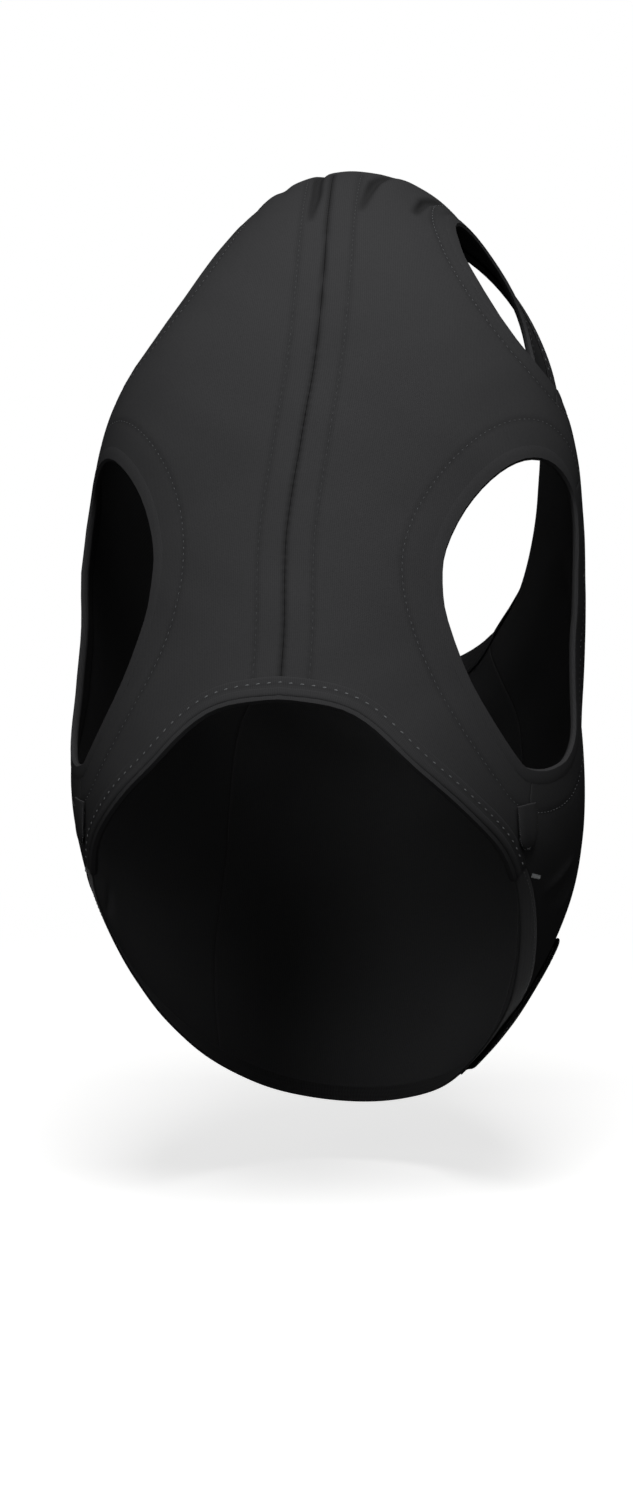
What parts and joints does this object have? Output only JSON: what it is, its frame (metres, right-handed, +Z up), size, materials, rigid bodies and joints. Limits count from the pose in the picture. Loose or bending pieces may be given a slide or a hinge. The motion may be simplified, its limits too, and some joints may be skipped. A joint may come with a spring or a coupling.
{
  "type": "horse fly mask",
  "caption": "Stretch knit fly mask in the shape it has on a horse's head, with bound eye and ear openings, elastic edges and hook-and-loop flaps.",
  "frame": {"origin": "inside of the crown on the midline between the ears, where it rests on the poll", "axes": "+Z up, -Y where the face looks, +X the horse's left (near) side"},
  "size_m": [0.2304, 0.3152, 0.4255],
  "materials": {
    "knit": "matte charcoal stretch knit",
    "facing": "matte lining",
    "binding": "folded stretch binding",
    "webbing": "woven elastic",
    "hook": "moulded hooks",
    "loop": "brushed loops",
    "thread": "grey polyester thread"
  },
  "bodies": {
    "shell": {"face_panel_left": "knit", "face_panel_right": "knit", "cheek_panel_left": "knit", "cheek_panel_right": "knit", "crown_panel": "knit", "jaw_panel": "knit", "eye_facing_left": "facing", "eye_facing_right": "facing", "eye_binding_left": "binding", "eye_binding_right": "binding", "ear_facing_left": "facing", "ear_facing_right": "facing", "ear_binding_left": "binding", "ear_binding_right": "binding", "nose_edge_binding": "binding", "nose_edge_elastic": "webbing", "neck_edge_binding": "binding", "neck_edge_elastic": "webbing", "throat_edge_binding": "binding", "throat_edge_elastic": "webbing", "cheek_band_left": "webbing", "jaw_band": "webbing", "centre_seam_tape": "webbing", "tab_loop_left": "loop", "tab_loop_right": "loop", "bartack_left": "thread", "bartack_right": "thread", "flap_loop_lower": "loop", "flap_loop_middle": "loop", "flap_loop_upper": "loop"},
    "cheek_tab_left": {"cheek_tab_left": "knit", "tab_hook_left": "hook"},
    "cheek_tab_right": {"cheek_tab_right": "knit", "tab_hook_right": "hook"},
    "jaw_flap_lower": {"jaw_flap_lower": "knit", "flap_hook_lower": "hook"},
    "jaw_flap_middle": {"jaw_flap_middle": "knit", "flap_hook_middle": "hook"},
    "jaw_flap_upper": {"jaw_flap_upper": "knit", "flap_hook_upper": "hook"}
  },
  "joints": [
    {"name": "cheek_tab_left_hinge", "type": "hinge", "parent": "shell", "child": "cheek_tab_left", "pos_m": [0.0966, -0.1394, -0.2637], "axis": [-0.4361, -0.8992, -0.036], "range_deg": [0, 110]},
    {"name": "cheek_tab_right_hinge", "type": "hinge", "parent": "shell", "child": "cheek_tab_right", "pos_m": [-0.0966, -0.1394, -0.2637], "axis": [-0.4361, 0.8992, -0.036], "range_deg": [0, 110]},
    {"name": "jaw_flap_lower_hinge", "type": "hinge", "parent": "shell", "child": "jaw_flap_lower", "pos_m": [0.0606, 0.0073, -0.393], "axis": [0.183, 0.7901, 0.5851], "range_deg": [0, 110]},
    {"name": "jaw_flap_middle_hinge", "type": "hinge", "parent": "shell", "child": "jaw_flap_middle", "pos_m": [0.0592, 0.056, -0.3377], "axis": [-0.018, 0.4812, 0.8764], "range_deg": [0, 110]},
    {"name": "jaw_flap_upper_hinge", "type": "hinge", "parent": "shell", "child": "jaw_flap_upper", "pos_m": [0.0456, 0.0968, -0.2781], "axis": [-0.159, 0.4011, 0.9021], "range_deg": [0, 110]}
  ]
}
